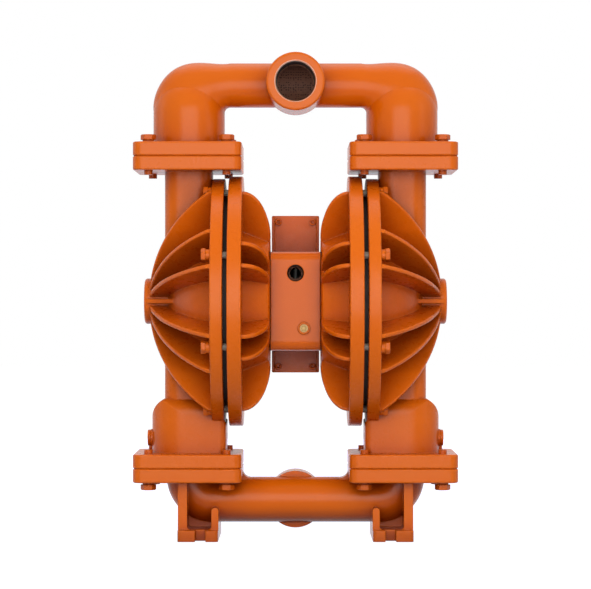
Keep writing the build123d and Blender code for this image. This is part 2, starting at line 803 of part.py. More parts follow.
# Centre block with registers, shaft and pilot bores, exhaust, signal port and air ways
with BuildPart() as center_block:
    with BuildSketch(across(-block_half_x)):
        with BuildLine():
            FilletPolyline(
                (-block_half_y, -block_half_z), (block_half_y, -block_half_z), (block_half_y, block_half_z),
                (-block_half_y, block_half_z), (-block_half_y, -block_half_z),
                radius=(block_corner, 2, 2, block_corner),
            )
        make_face()
    extrude(amount=2 * block_half_x)
    with BuildSketch(across(-register_end)):
        Circle(hub_bore_radius - clearance)
    extrude(amount=2 * register_end)
    with BuildSketch(facing_front(-block_half_y)):
        with Locations((signal_x, signal_z)):
            Circle(signal_boss_radius)
    extrude(amount=signal_boss_height)
    with BuildSketch(across(-register_end)):
        Circle(bush_radius + running_gap)
        with Locations((0, pilot_height)):
            Circle(pilot_sleeve_radius + running_gap)
    extrude(amount=2 * register_end, mode=Mode.SUBTRACT)
    with BuildSketch(facing_front(-block_half_y)):
        with Locations((0, exhaust_height)):
            Circle(exhaust_thread_radius)
    extrude(amount=-exhaust_thread_length, mode=Mode.SUBTRACT)
    with BuildSketch(facing_front(-block_half_y - signal_boss_height)):
        with Locations((signal_x, signal_z)):
            Circle(signal_radius + running_gap)
    extrude(amount=-signal_boss_height - signal_depth, mode=Mode.SUBTRACT)
    with BuildSketch(facing_back(block_half_y)):
        with Locations((0, exhaust_height)):
            Circle(exhaust_bore_radius)
    extrude(amount=-2 * block_half_y, mode=Mode.SUBTRACT)
    with BuildSketch(facing_back(block_half_y)):
        with Locations((0, pilot_height)):
            Circle(pilot_way_radius)
    extrude(amount=-block_half_y, mode=Mode.SUBTRACT)
    for side in (-1, 1):
        with BuildSketch(facing_back(block_half_y)):
            with Locations((side * air_way_x, 0)):
                Circle(air_way_radius)
        extrude(amount=air_way_y - block_half_y, mode=Mode.SUBTRACT)
        with BuildSketch(across(side * block_half_x)):
            with Locations((air_way_y, 0)):
                Circle(air_way_radius)
            with GridLocations(2 * block_screw_y, 2 * block_screw_z, 2, 2):
                Circle(block_screw_radius + running_gap)
        extrude(amount=side * (air_way_x - block_half_x), mode=Mode.SUBTRACT)
    with BuildSketch(facing_back(block_half_y)):
        with GridLocations(2 * plate_screw_x, 2 * plate_screw_z, 2, 2):
            Circle(small_screw_radius + running_gap)
    extrude(amount=-small_screw_length, mode=Mode.SUBTRACT)

# Gaskets between the block and the air chambers
with BuildPart() as block_gaskets:
    for side in (-1, 1):
        with BuildSketch(across(side * block_half_x)):
            Rectangle(2 * (block_half_y - block_corner / 2), 2 * block_half_z)
            Circle(hub_bore_radius, mode=Mode.SUBTRACT)
            with Locations((0, pilot_height)):
                Circle(pilot_hole_radius, mode=Mode.SUBTRACT)
            with Locations((air_way_y, 0)):
                Circle(air_way_radius, mode=Mode.SUBTRACT)
            with GridLocations(2 * block_screw_y, 2 * block_screw_z, 2, 2):
                Circle(block_screw_radius + bolt_hole_gap, mode=Mode.SUBTRACT)
        extrude(amount=side * gasket_thickness)

# Diaphragm with a rolled convolution and a bead that the rims clamp
with BuildPart() as diaphragm_right:
    with BuildSketch(profile_plane):
        with BuildLine():
            Line((air_face, stud_radius + clearance), (air_face, roll_inner))
            ThreePointArc(
                (air_face, roll_inner), (air_face - roll_depth, (roll_inner + roll_outer) / 2),
                (air_face, roll_outer),
            )
            Polyline((air_face, roll_outer), (air_face, diaphragm_radius), (liquid_face, diaphragm_radius))
            Line((liquid_face, diaphragm_radius), (liquid_face, roll_outer))
            ThreePointArc(
                (liquid_face, roll_outer), (liquid_face - roll_depth, (roll_inner + roll_outer) / 2),
                (liquid_face, roll_inner),
            )
            Polyline(
                (liquid_face, roll_inner), (liquid_face, stud_radius + clearance),
                (air_face, stud_radius + clearance),
            )
        make_face()
        with Locations((air_face, bead_circle), (liquid_face, bead_circle)):
            Circle(bead_radius)
    revolve(axis=shaft_axis)

# Main shaft with a threaded stud at each end
with BuildPart() as main_shaft:
    with BuildSketch(across(-shaft_end)):
        Circle(shaft_radius)
    extrude(amount=2 * shaft_end)
    with BuildSketch(across(-liquid_face - stud_length)):
        Circle(stud_radius)
    extrude(amount=2 * (liquid_face + stud_length))
    chamfer(main_shaft.faces().sort_by(Axis.X)[0].edges(), 1)
    chamfer(main_shaft.faces().sort_by(Axis.X)[-1].edges(), 1)

# Inner piston, on the air side of the diaphragm
with BuildPart() as inner_piston_right:
    with BuildSketch(across(shaft_end)):
        Circle(inner_piston_radius)
        Circle(stud_radius + running_gap, mode=Mode.SUBTRACT)
    extrude(amount=inner_piston_thickness)
    fillet(
        inner_piston_right.edges().filter_by(GeomType.CIRCLE).sort_by(SortBy.RADIUS)[-2:], piston_rounding
    )

# Outer piston, in the liquid: a thin edge that swells to a threaded nose
with BuildPart() as outer_piston_right:
    with BuildSketch(profile_plane):
        with BuildLine():
            Polyline(
                (liquid_face + outer_piston_height, 0), (liquid_face, 0), (liquid_face, outer_piston_radius),
                (liquid_face + outer_piston_edge, outer_piston_radius),
            )
            Spline(
                (liquid_face + outer_piston_edge, outer_piston_radius),
                (liquid_face + outer_piston_height, outer_piston_nose_radius),
                tangents=((0, -1), (0, -1)),
            )
            Line(
                (liquid_face + outer_piston_height, outer_piston_nose_radius),
                (liquid_face + outer_piston_height, 0),
            )
        make_face()
    revolve(axis=shaft_axis)
    with BuildSketch(across(liquid_face)):
        Circle(stud_radius + running_gap)
    extrude(amount=stud_length + clearance, mode=Mode.SUBTRACT)

# Shaft bush and shaft seal
with BuildPart() as shaft_bush_right:
    with BuildSketch(across(register_end - shaft_seal_length)):
        Circle(bush_radius)
        Circle(shaft_radius + running_gap, mode=Mode.SUBTRACT)
    extrude(amount=-bush_length)
with BuildPart() as shaft_seal_right:
    with BuildSketch(across(register_end)):
        Circle(bush_radius)
        Circle(shaft_radius + running_gap, mode=Mode.SUBTRACT)
    extrude(amount=-shaft_seal_length)

# Pilot spool with a waist, its sleeve and the sleeve's rings
with BuildPart() as pilot_spool:
    with BuildSketch(across(-pilot_half_length)):
        with Locations((0, pilot_height)):
            Circle(pilot_radius)
    extrude(amount=2 * pilot_half_length)
    chamfer(pilot_spool.edges().filter_by(GeomType.CIRCLE), 0.8)
    with BuildSketch(across(-pilot_waist_length / 2)):
        with Locations((0, pilot_height)):
            Circle(pilot_radius)
            Circle(pilot_waist_radius, mode=Mode.SUBTRACT)
    extrude(amount=pilot_waist_length, mode=Mode.SUBTRACT)

pilot_axis = Axis((0, 0, axis_height + pilot_height), (1, 0, 0))
ring_offsets = (-2 * pilot_ring_offset, -pilot_ring_offset, pilot_ring_offset, 2 * pilot_ring_offset)
with BuildPart() as pilot_sleeve:
    with BuildSketch(across(-block_half_x)):
        with Locations((0, pilot_height)):
            Circle(pilot_sleeve_radius)
            Circle(pilot_radius + running_gap, mode=Mode.SUBTRACT)
    extrude(amount=2 * block_half_x)
    for x in ring_offsets:
        with BuildSketch(profile_plane):
            with Locations((x, pilot_height + pilot_sleeve_radius)):
                Rectangle(2.4 * pilot_ring_section, 4 * pilot_ring_section)
        revolve(axis=pilot_axis, mode=Mode.SUBTRACT)
    with BuildSketch(facing_back(0, axis_height + pilot_height)):
        Circle(pilot_way_radius)
    extrude(amount=pilot_sleeve_radius, mode=Mode.SUBTRACT)
with BuildPart() as pilot_sleeve_rings:
    for x in ring_offsets:
        with BuildSketch(profile_plane):
            with Locations((x, pilot_height + pilot_sleeve_radius - pilot_ring_section)):
                Circle(pilot_ring_section)
        revolve(axis=pilot_axis)

# Ball check valves: a ball, its seat and the ring under the seat
valve_joints = {"inlet": lower_joint, "discharge": upper_joint}
balls = {}
seats = {}
for place, joint in valve_joints.items():
    for side, x in {"left": -neck_offset, "right": neck_offset}.items():
        with BuildPart(Plane(origin=(x, 0, joint))) as ball:
            with Locations((0, 0, ball_rest)):
                Sphere(ball_radius)
        balls[f"{place}_ball_{side}"] = ball
        seat_axis = Axis((x, 0, 0), (0, 0, 1))
        with BuildPart() as seat:
            with BuildSketch(Plane(origin=(x, 0, joint), x_dir=(1, 0, 0), z_dir=(0, -1, 0))):
                Polygon(
                    (seat_throat_radius, -seat_height), (seat_radius - seat_foot_bevel, -seat_height),
                    (seat_radius, seat_foot_bevel - seat_height), (seat_radius, 0),
                    (seat_throat_radius + seat_bevel, 0), (seat_throat_radius, -seat_bevel), align=None,
                )
            revolve(axis=seat_axis)
        seats[f"{place}_seat_{side}"] = seat


def seat_rings(joint):
    """The two rings that seal the foot of the seats at one joint."""
    reach = seat_radius + clearance - seat_ring_section
    with BuildPart() as rings:
        for x in (-neck_offset, neck_offset):
            with BuildSketch(Plane(origin=(x, 0, joint), x_dir=(1, 0, 0), z_dir=(0, -1, 0))):
                with Locations((reach, seat_ring_section - seat_height)):
                    Circle(seat_ring_section)
            revolve(axis=Axis((x, 0, 0), (0, 0, 1)))
    return rings


# Plate between the centre block and the air valve, with ridges down its free edges
plate_middle = (plate_top + plate_bottom) / 2
plate_height = plate_top - plate_bottom
screw_rows = (plate_top - valve_screw_inset, plate_bottom + valve_screw_inset)
with BuildPart() as valve_plate:
    with BuildSketch(facing_back(plate_face)):
        with Locations((0, plate_middle)):
            RectangleRounded(2 * plate_half_x, plate_height, plate_corner)
    extrude(amount=plate_thickness)
    with BuildSketch(facing_front(plate_face)):
        with Locations((0, plate_middle)):
            Rectangle(2 * plate_half_x, plate_height - 2 * plate_corner)
            Rectangle(2 * (plate_half_x - plate_ridge_width), plate_height, mode=Mode.SUBTRACT)
        Rectangle(2 * plate_half_x, 2 * (block_half_z + gasket_thickness), mode=Mode.SUBTRACT)
    extrude(amount=plate_ridge_height)
    with BuildSketch(facing_back(plate_face)):
        for x, z, radius in ways:
            with Locations((x, z)):
                Circle(radius)
        with GridLocations(2 * plate_screw_x, 2 * plate_screw_z, 2, 2):
            Circle(small_screw_radius + bolt_hole_gap)
        for z in screw_rows:
            with Locations((-valve_screw_x, z), (valve_screw_x, z)):
                Circle(small_screw_radius + bolt_hole_gap)
    extrude(amount=plate_thickness, mode=Mode.SUBTRACT)
    with BuildSketch(facing_back(plate_back)):
        with GridLocations(2 * plate_screw_x, 2 * plate_screw_z, 2, 2):
            Circle(small_screw_head_radius + clearance)
    extrude(amount=-small_screw_head - clearance, mode=Mode.SUBTRACT)

with BuildPart() as valve_plate_gasket:
    with BuildSketch(facing_back(block_half_y)):
        Rectangle(2 * plate_half_x, 2 * block_half_z)
        for x, z, radius in ways:
            with Locations((x, z)):
                Circle(radius, mode=Mode.SUBTRACT)
        with GridLocations(2 * plate_screw_x, 2 * plate_screw_z, 2, 2):
            Circle(small_screw_radius + bolt_hole_gap, mode=Mode.SUBTRACT)
    extrude(amount=gasket_thickness)

with BuildPart() as air_valve_gasket:
    with BuildSketch(facing_back(plate_back)):
        with Locations((0, plate_middle)):
            RectangleRounded(2 * plate_half_x, plate_height, plate_corner)
        for x, z, radius in ways:
            with Locations((x, z)):
                Circle(radius, mode=Mode.SUBTRACT)
        for z in screw_rows:
            with Locations((-valve_screw_x, z), (valve_screw_x, z)):
                Circle(small_screw_radius + bolt_hole_gap, mode=Mode.SUBTRACT)
    extrude(amount=gasket_thickness)

# Air valve body: flange, upright barrel with the spool bore, and the air inlet boss
with BuildPart() as air_valve_body:
    with BuildSketch(facing_back(flange_face)):
        with Locations((0, plate_middle)):
            RectangleRounded(2 * plate_half_x, plate_height, plate_corner)
    extrude(amount=valve_flange_thickness)
    with BuildSketch(Plane.XY.offset(axis_height + barrel_bottom)):
        with BuildLine():
            FilletPolyline(
                (-barrel_half_x, barrel_face - 1), (barrel_half_x, barrel_face - 1),
                (barrel_half_x, barrel_back), (-barrel_half_x, barrel_back),
                (-barrel_half_x, barrel_face - 1),
                radius=(0, barrel_corner, barrel_corner, 0),
            )
        make_face()
    extrude(amount=barrel_top - barrel_bottom)
    with BuildSketch(facing_back(barrel_back - barrel_corner)):
        with Locations((0, air_inlet_height)):
            Circle(air_inlet_boss_radius)
    extrude(amount=barrel_corner + air_inlet_boss_height)
    with BuildSketch(Plane.XY.offset(axis_height + barrel_bottom)):
        with Locations((0, barrel_centre)):
            Circle(valve_bore_radius)
            with GridLocations(2 * cap_screw_x, 2 * cap_screw_y, 2, 2):
                Circle(cap_screw_radius + running_gap)
    extrude(amount=barrel_top - barrel_bottom, mode=Mode.SUBTRACT)
    with BuildSketch(facing_back(flange_face)):
        for x, z, radius in ways:
            with Locations((x, z)):
                Circle(radius)
    extrude(amount=barrel_centre - flange_face, mode=Mode.SUBTRACT)
    with BuildSketch(facing_back(flange_face)):
        for z in screw_rows:
            with Locations((-valve_screw_x, z), (valve_screw_x, z)):
                Circle(small_screw_radius + running_gap)
    extrude(amount=valve_flange_thickness, mode=Mode.SUBTRACT)
    with BuildSketch(facing_back(barrel_back + air_inlet_boss_height)):
        with Locations((0, air_inlet_height)):
            Circle(air_inlet_radius)
    extrude(amount=-air_inlet_length, mode=Mode.SUBTRACT)
    with BuildSketch(facing_back(barrel_centre)):
        with Locations((0, air_inlet_height)):
            Circle(air_inlet_way_radius)
    extrude(amount=barrel_back - barrel_centre, mode=Mode.SUBTRACT)


def valve_cap(bottom):
    """End cap of the air valve, drilled for its four screws."""
    with BuildPart() as cap:
        with BuildSketch(Plane.XY.offset(axis_height + bottom)):
            with BuildLine():
                FilletPolyline(
                    (-barrel_half_x, barrel_face + cap_gap), (barrel_half_x, barrel_face + cap_gap),
                    (barrel_half_x, barrel_back), (-barrel_half_x, barrel_back),
                    (-barrel_half_x, barrel_face + cap_gap),
                    radius=(1, barrel_corner, barrel_corner, 1),
                )
            make_face()
            with Locations((0, barrel_centre)):
                with GridLocations(2 * cap_screw_x, 2 * cap_screw_y, 2, 2):
                    Circle(cap_screw_radius + bolt_hole_gap, mode=Mode.SUBTRACT)
        extrude(amount=cap_thickness)
    return cap


# Air valve spool: three lands on a slim stem, resting on the bottom cap
spool_bottom = (barrel_top + barrel_bottom - valve_spool_length - valve_spool_travel) / 2
with BuildPart() as air_valve_spool:
    with BuildSketch(Plane.XY.offset(axis_height + spool_bottom)):
        with Locations((0, barrel_centre)):
            Circle(valve_spool_waist)
    extrude(amount=valve_spool_length)
    for share in (0, 0.5, 1):
        land = spool_bottom + share * (valve_spool_length - valve_land_length)
        with BuildSketch(Plane.XY.offset(axis_height + land)):
            with Locations((0, barrel_centre)):
                Circle(valve_bore_radius - running_gap)
        extrude(amount=valve_land_length)

# Fasteners
rim_bolt = hex_bolt(rim_bolt_radius, rim_bolt_length, rim_bolt_flats, rim_bolt_head)
flange_bolt = hex_bolt(flange_bolt_radius, flange_bolt_length, flange_bolt_flats, flange_bolt_head)
flange_washer = washer(flange_bolt_radius + clearance, flange_washer_radius, flange_washer_thickness)
block_screw = socket_screw(block_screw_radius, block_screw_length, block_screw_head_radius, block_screw_head)
small_screw = socket_screw(small_screw_radius, small_screw_length, small_screw_head_radius, small_screw_head)
cap_screw = socket_screw(cap_screw_radius, cap_screw_length, cap_screw_head_radius, small_screw_head)


def round_flanges(planes, piece):
    """One piece at each flange bolt of the planes."""
    with BuildPart() as group:
        with Locations(*planes):
            with GridLocations(flange_bolt_spacing, flange_bolt_spacing, 2, 2):
                add(piece)
    return group


with BuildPart() as rim_bolts_right:
    with Locations(across(rim_back + rim_boss_height)):
        with PolarLocations(rim_bolt_circle, rim_bolt_count, start_angle=rim_bolt_turn):
            add(rim_bolt)

joint_back = flange_thickness + flange_washer_thickness
discharge_flange_bolts = round_flanges(on_both_necks(upper_joint + joint_back), flange_bolt)
discharge_flange_washers = round_flanges(on_both_necks(upper_joint + flange_thickness), flange_washer)
inlet_flange_bolts = round_flanges(on_both_necks(lower_joint - joint_back, turned=True), flange_bolt)
inlet_flange_washers = round_flanges(
    on_both_necks(lower_joint - flange_thickness, turned=True), flange_washer
)

with BuildPart() as block_screws:
    with Locations(across(hub_face + hub_wall)):
        with GridLocations(2 * block_screw_y, 2 * block_screw_z, 2, 2):
            add(block_screw)
    mirror(about=Plane.YZ)
with BuildPart() as valve_plate_screws:
    with Locations(facing_back(plate_back - small_screw_head)):
        with GridLocations(2 * plate_screw_x, 2 * plate_screw_z, 2, 2):
            add(small_screw)
with BuildPart() as air_valve_screws:
    for z in screw_rows:
        with Locations(facing_front(plate_face, axis_height + z)):
            with Locations((-valve_screw_x, 0), (valve_screw_x, 0)):
                add(small_screw)
with BuildPart() as valve_cap_screws:
    top_plane = Plane(origin=(0, barrel_centre, axis_height + barrel_top + cap_thickness))
    bottom_plane = Plane(
        origin=(0, barrel_centre, axis_height + barrel_bottom - cap_thickness),
        x_dir=(1, 0, 0), z_dir=(0, 0, -1),
    )
    with Locations(top_plane, bottom_plane):
        with GridLocations(2 * cap_screw_x, 2 * cap_screw_y, 2, 2):
            add(cap_screw)

# Brass plug in the signal port, and the drain plugs of the valve housings
with BuildPart() as signal_plug:
    with BuildSketch(facing_front(-block_half_y - signal_boss_height)):
        with Locations((signal_x, signal_z)):
            Circle(signal_radius)
    extrude(amount=-signal_depth)
    with BuildSketch(facing_front(-block_half_y - signal_boss_height)):
        with Locations((signal_x, signal_z)):
            RegularPolygon(signal_radius * 0.55, 6, major_radius=False)
    extrude(amount=-signal_depth / 2, mode=Mode.SUBTRACT)
with BuildPart() as drain_plugs:
    with BuildSketch(Plane(origin=(drain_seat, 0, drain_level), x_dir=(0, 1, 0), z_dir=(1, 0, 0))):
        Circle(drain_head_radius)
    extrude(amount=drain_head)
    chamfer(drain_plugs.faces().sort_by(Axis.X)[-1].edges(), 0.8)
    with BuildSketch(Plane(origin=(drain_seat, 0, drain_level), x_dir=(0, 1, 0), z_dir=(1, 0, 0))):
        Circle(drain_thread_radius)
    extrude(amount=-drain_thread_length)
    mirror(about=Plane.YZ)

pieces = {
    "discharge_manifold": discharge_manifold,
    "inlet_manifold": inlet_manifold,
    "liquid_chamber_right": liquid_chamber_right,
    "air_chamber_right": air_chamber_right,
    "center_block": center_block,
    "block_gaskets": block_gaskets,
    "diaphragm_right": diaphragm_right,
    "main_shaft": main_shaft,
    "inner_piston_right": inner_piston_right,
    "outer_piston_right": outer_piston_right,
    "shaft_bush_right": shaft_bush_right,
    "shaft_seal_right": shaft_seal_right,
    "pilot_spool": pilot_spool,
    "pilot_sleeve": pilot_sleeve,
    "pilot_sleeve_rings": pilot_sleeve_rings,
    **balls,
    **seats,
    "inlet_seat_rings": seat_rings(lower_joint),
    "discharge_seat_rings": seat_rings(upper_joint),
    "valve_plate": valve_plate,
    "valve_plate_gasket": valve_plate_gasket,
    "air_valve_gasket": air_valve_gasket,
    "air_valve_body": air_valve_body,
    "air_valve_cap_top": valve_cap(barrel_top),
    "air_valve_cap_bottom": valve_cap(barrel_bottom - cap_thickness),
    "air_valve_spool": air_valve_spool,
    "rim_bolts_right": rim_bolts_right,
    "discharge_flange_bolts": discharge_flange_bolts,
    "discharge_flange_washers": discharge_flange_washers,
    "inlet_flange_bolts": inlet_flange_bolts,
    "inlet_flange_washers": inlet_flange_washers,
    "block_screws": block_screws,
    "valve_plate_screws": valve_plate_screws,
    "air_valve_screws": air_valve_screws,
    "valve_cap_screws": valve_cap_screws,
    "signal_plug": signal_plug,
    "drain_plugs": drain_plugs,
}

# Left-hand twins of the pieces that stand on the right only
one_sided = [name for name in pieces if name.endswith("_right") and name not in balls and name not in seats]
for name in one_sided:
    with BuildPart() as twin:
        mirror(pieces[name].part, about=Plane.YZ)
    pieces[name.replace("_right", "_left")] = twin

os.makedirs("parts", exist_ok=True)
for name, piece in pieces.items():
    piece.part.label = name
    export_step(piece.part, f"parts/{name}.step")
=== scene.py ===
import json
import math

import bmesh
import bpy
import numpy as np
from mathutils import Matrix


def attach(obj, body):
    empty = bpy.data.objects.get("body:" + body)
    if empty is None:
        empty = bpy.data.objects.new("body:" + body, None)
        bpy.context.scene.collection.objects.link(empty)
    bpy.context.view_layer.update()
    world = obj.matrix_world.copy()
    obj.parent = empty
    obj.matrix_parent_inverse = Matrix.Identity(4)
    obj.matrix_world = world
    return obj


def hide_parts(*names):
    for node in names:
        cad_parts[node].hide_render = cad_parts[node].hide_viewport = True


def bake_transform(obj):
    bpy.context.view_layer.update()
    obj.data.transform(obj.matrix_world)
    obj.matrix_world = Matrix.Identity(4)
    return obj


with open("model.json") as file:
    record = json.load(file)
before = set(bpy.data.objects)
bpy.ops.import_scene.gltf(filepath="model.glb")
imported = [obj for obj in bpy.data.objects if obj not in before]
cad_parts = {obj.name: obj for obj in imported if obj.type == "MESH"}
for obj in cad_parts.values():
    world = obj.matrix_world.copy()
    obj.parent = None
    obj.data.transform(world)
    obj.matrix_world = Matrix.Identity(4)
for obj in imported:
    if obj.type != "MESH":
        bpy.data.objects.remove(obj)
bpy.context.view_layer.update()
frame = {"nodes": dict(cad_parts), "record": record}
nodes = frame["nodes"]
scene = bpy.context.scene
print("frame loaded:", len(nodes), "nodes")

# Heights above the floor. Every length in this file is in metres, and every colour is sRGB.
heights = {"shaft": 0.337, "dischargePort": 0.6453, "inletPort": 0.054, "exhaust": 0.3765, "airInlet": 0.347}


# Scene-linear colour, with alpha, of an sRGB hex code.
def linear(code):
    values = [int(code[i : i + 2], 16) / 255 for i in (1, 3, 5)]
    return tuple(v / 12.92 if v <= 0.04045 else ((v + 0.055) / 1.055) ** 2.4 for v in values) + (1.0,)


# Adds a shader node. A link is a socket of another node or a constant for the input of that name.
def addNode(tree, kind, settings=None, **links):
    node = tree.nodes.new("ShaderNode" + kind)
    for name, value in (settings or {}).items():
        setattr(node, name, value)
    for name, value in links.items():
        if name[:2] == "in" and name[2:].isdigit():
            socket = node.inputs[int(name[2:])]
        else:
            socket = next(s for s in node.inputs if s.name.replace(" ", "") == name and s.enabled)
        if isinstance(value, bpy.types.NodeSocket):
            tree.links.new(value, socket)
        else:
            socket.default_value = value
    return node


# An empty node material with its output and the object's coordinates.
def newMaterial(name):
    material = bpy.data.materials.new(name)
    material.use_nodes = True
    tree = material.node_tree
    tree.nodes.clear()
    output = addNode(tree, "OutputMaterial")
    coordinates = addNode(tree, "TexCoord").outputs["Object"]
    return material, tree, output, coordinates


# A colour laid over a base where the mask is one, as thickly as share says.
def layer(tree, base, mask, share, colour):
    thick = addNode(tree, "Math", {"operation": "MULTIPLY"}, in0=mask, in1=share).outputs[0]
    return addNode(tree, "Mix", {"data_type": "RGBA"}, in0=thick, in6=base, in7=linear(colour)).outputs[2]


# One where a value is between low and high, and nought elsewhere.
def between(tree, value, low, high):
    above = addNode(tree, "Math", {"operation": "GREATER_THAN"}, in0=value, in1=low).outputs[0]
    below = addNode(tree, "Math", {"operation": "LESS_THAN"}, in0=value, in1=high).outputs[0]
    return addNode(tree, "Math", {"operation": "MULTIPLY"}, in0=above, in1=below).outputs[0]


# One inside a bore and nought elsewhere: nearer to the axis through middle than radius, and between low and high
# along it.
def boreMask(tree, place, middle, axis, radius, low, high):
    offset = addNode(tree, "VectorMath", {"operation": "SUBTRACT"}, in0=place, in1=middle).outputs[0]
    along = addNode(tree, "VectorMath", {"operation": "DOT_PRODUCT"}, in0=offset, in1=axis).outputs["Value"]
    across = [1 - part for part in axis]
    flat = addNode(tree, "VectorMath", {"operation": "MULTIPLY"}, in0=offset, in1=across).outputs[0]
    away = addNode(tree, "VectorMath", {"operation": "LENGTH"}, in0=flat).outputs["Value"]
    inside = addNode(tree, "Math", {"operation": "LESS_THAN"}, in0=away, in1=radius).outputs[0]
    within = between(tree, along, low, high)
    return addNode(tree, "Math", {"operation": "MULTIPLY"}, in0=inside, in1=within).outputs[0]


# A pattern's scale is one over the width of its features in metres
enamel = {
    "castingColour": "#DC670A",
    "fastenerColour": "#D5610A",
    # painted shade: a darker orange laid into crevices where ambient occlusion is low, standing in for the shade
    # there
    "creviceColour": "#862B00",
    "creviceShare": 0.85,
    "creviceReach": 0.05,
    "creviceRamp": {"FromMin": 0.95, "FromMax": 0.30},
    "wornColour": "#E8842C",
    "edgeShare": 0.16,
    "edgeRadius": 0.0026,
    "edgeRamp": {"FromMin": 0.995, "FromMax": 0.80},
    "fadedShare": 0.10,
    "fadedNoise": {"Scale": 1 / 0.09, "Detail": 4.0, "Roughness": 0.55},
    "fadedRamp": {"FromMin": 0.35, "FromMax": 0.7},
    "grainShare": 0.7,
    "grainNoise": {"Scale": 1 / 0.0016, "Detail": 2.0, "Roughness": 0.55},
    "peelShare": 0.3,
    "peelNoise": {"Scale": 1 / 0.0007, "Detail": 1.0, "Roughness": 0.55},
    "relief": 0.0004,
    "reliefStrength": 0.22,
    "glossNoise": {"Scale": 1 / 0.012, "Detail": 3.0, "Roughness": 0.55},
    "glossRamp": {"FromMin": 0.3, "FromMax": 0.7, "ToMin": 0.24, "ToMax": 0.34},
    "specular": 0.2,
}
# Bare cast skin in the bores, its brown darkened as painted shade for the bore's depth; the pits are the skin's own
# pattern
castSkinAndPaintedShade = {
    "colour": "#8E6252",
    "pitColour": "#2A1612",
    "pitCells": {"Scale": 1 / 0.0035, "Randomness": 0.35},
    "pitRamp": {"FromMin": 0.22, "FromMax": 0.36},
    "roughness": 0.75,
}
boltShank = {"colour": "#7D7874", "gap": (0.093, 0.103)}


# Sprayed enamel on a sand casting: orange, with the casting's grain under it (1.6 mm wide), a finer orange peel
# (0.7 mm), painted shade in crevices (a darker orange where ambient occlusion finds little open surround), and
# lighter paint in broad patches and where it is thin on edges. The edge mask rises from nought to one as the dot
# product of the true normal and a 2.6 mm bevel's normal falls from 0.995 to 0.8, and the painted shade mask as the
# openness falls from 0.95 to 0.3. A bore keeps its brown cast skin, with pits about 3.5 mm apart, and the skin's
# brown is darkened as painted shade for the bore's depth. A bare gap shows steel between two distances along X from
# the pump's middle.
def enamelMaterial(name, colour, grain=1.0, bores=(), bareGap=None):
    material, tree, output, place = newMaterial(name)
    soft = addNode(tree, "Bevel", {"samples": 6}, Radius=enamel["edgeRadius"]).outputs[0]
    flat = addNode(tree, "NewGeometry").outputs["Normal"]
    alike = addNode(tree, "VectorMath", {"operation": "DOT_PRODUCT"}, in0=soft, in1=flat).outputs["Value"]
    edge = addNode(tree, "MapRange", None, Value=alike, **enamel["edgeRamp"]).outputs[0]
    # painted shade: how little of the surround reaches a point sets how much darker orange is laid on it
    openness = addNode(tree, "AmbientOcclusion", {"samples": 6}, Distance=enamel["creviceReach"]).outputs["AO"]
    paintedShadeMask = addNode(tree, "MapRange", None, Value=openness, **enamel["creviceRamp"]).outputs[0]
    cloud = addNode(tree, "TexNoise", None, Vector=place, **enamel["fadedNoise"]).outputs["Fac"]
    faded = addNode(tree, "MapRange", None, Value=cloud, **enamel["fadedRamp"]).outputs[0]
    base = layer(tree, linear(colour), paintedShadeMask, enamel["creviceShare"], enamel["creviceColour"])
    base = layer(tree, base, faded, enamel["fadedShare"], enamel["wornColour"])
    base = layer(tree, base, edge, enamel["edgeShare"], enamel["wornColour"])
    smears = addNode(tree, "TexNoise", None, Vector=place, **enamel["glossNoise"]).outputs["Fac"]
    gloss = addNode(tree, "MapRange", None, Value=smears, **enamel["glossRamp"]).outputs[0]
    shares = []
    for pattern in ("grain", "peel"):
        height = addNode(tree, "TexNoise", None, Vector=place, **enamel[pattern + "Noise"]).outputs["Fac"]
        share = enamel[pattern + "Share"]
        shares.append(addNode(tree, "Math", {"operation": "MULTIPLY"}, in0=height, in1=share).outputs[0])
    height = addNode(tree, "Math", {"operation": "ADD"}, in0=shares[0], in1=shares[1]).outputs[0]
    depth = {"Strength": enamel["reliefStrength"] * grain, "Distance": enamel["relief"]}
    bump = addNode(tree, "Bump", None, Height=height, Normal=soft, **depth)
    if bores:
        cells = addNode(tree, "TexVoronoi", None, Vector=place, **castSkinAndPaintedShade["pitCells"]).outputs["Distance"]
        pits = addNode(tree, "MapRange", None, Value=cells, **castSkinAndPaintedShade["pitRamp"]).outputs[0]
        boreSkinAndShade = {"in6": linear(castSkinAndPaintedShade["pitColour"]), "in7": linear(castSkinAndPaintedShade["colour"])}
        boreSkinAndShade = addNode(tree, "Mix", {"data_type": "RGBA"}, in0=pits, **boreSkinAndShade).outputs[2]
    # inside a bore the cast skin, darkened as painted shade, takes the place of the enamel
    for bore in bores:
        mask = boreMask(tree, place, *bore)
        base = addNode(tree, "Mix", {"data_type": "RGBA"}, in0=mask, in6=base, in7=boreSkinAndShade).outputs[2]
        dull = addNode(tree, "Math", {"operation": "MAXIMUM"}, in0=mask, in1=gloss).outputs[0]
        dull = addNode(tree, "MapRange", None, Value=dull, ToMax=castSkinAndPaintedShade["roughness"]).outputs[0]
        least = enamel["glossRamp"]["ToMin"]
        gloss = addNode(tree, "Math", {"operation": "MAXIMUM"}, in0=dull, in1=least).outputs[0]
    if bareGap:
        across = addNode(tree, "SeparateXYZ", None, in0=place).outputs["X"]
        across = addNode(tree, "Math", {"operation": "ABSOLUTE"}, in0=across).outputs[0]
        base = layer(tree, base, between(tree, across, *bareGap), 1.0, boltShank["colour"])
    surface = {"BaseColor": base, "Roughness": gloss, "Normal": bump.outputs[0], "IOR": 1.5}
    shader = addNode(tree, "BsdfPrincipled", None, SpecularIORLevel=enamel["specular"], **surface)
    tree.links.new(shader.outputs[0], output.inputs["Surface"])
    return material


